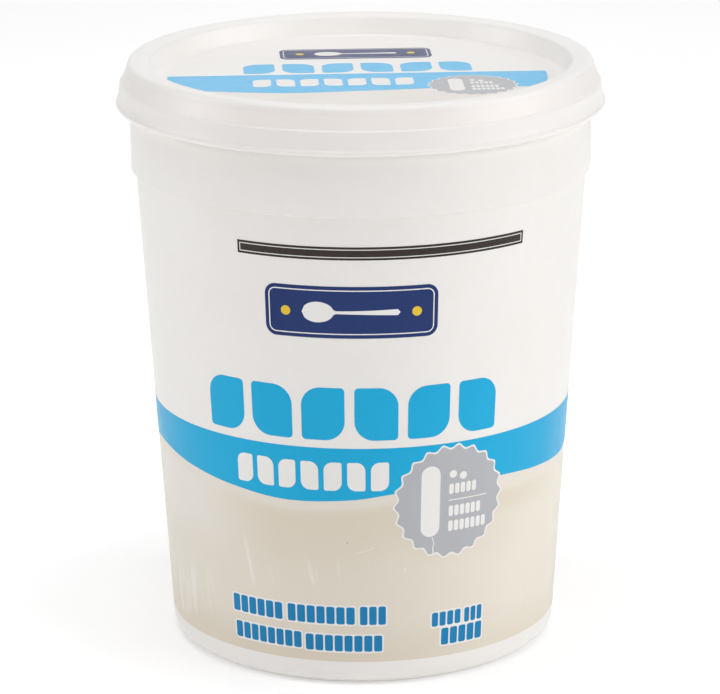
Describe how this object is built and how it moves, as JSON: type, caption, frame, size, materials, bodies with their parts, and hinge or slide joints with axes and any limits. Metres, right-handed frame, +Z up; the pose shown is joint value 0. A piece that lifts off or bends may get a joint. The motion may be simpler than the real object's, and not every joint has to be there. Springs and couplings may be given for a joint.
{
  "type": "yogurt pot",
  "caption": "Round family-size yogurt pot: a tapered white plastic tub with a straight collar, closed by a press-on lid with a raised ring round a sunk panel, printed in blue, cream and grey.",
  "frame": {"origin": "middle of the foot ring, on the surface the pot stands on", "axes": "+Z up along the pot's axis, -Y towards the printed front"},
  "size_m": [0.1174, 0.1174, 0.143],
  "materials": {
    "tub_plastic": "satin white moulded plastic",
    "lid_plastic": "satin white moulded plastic",
    "print_ink": "smooth in-mould label print in flat colours"
  },
  "bodies": {
    "root": {"tub": "tub_plastic", "lid": "lid_plastic"}
  },
  "joints": []
}
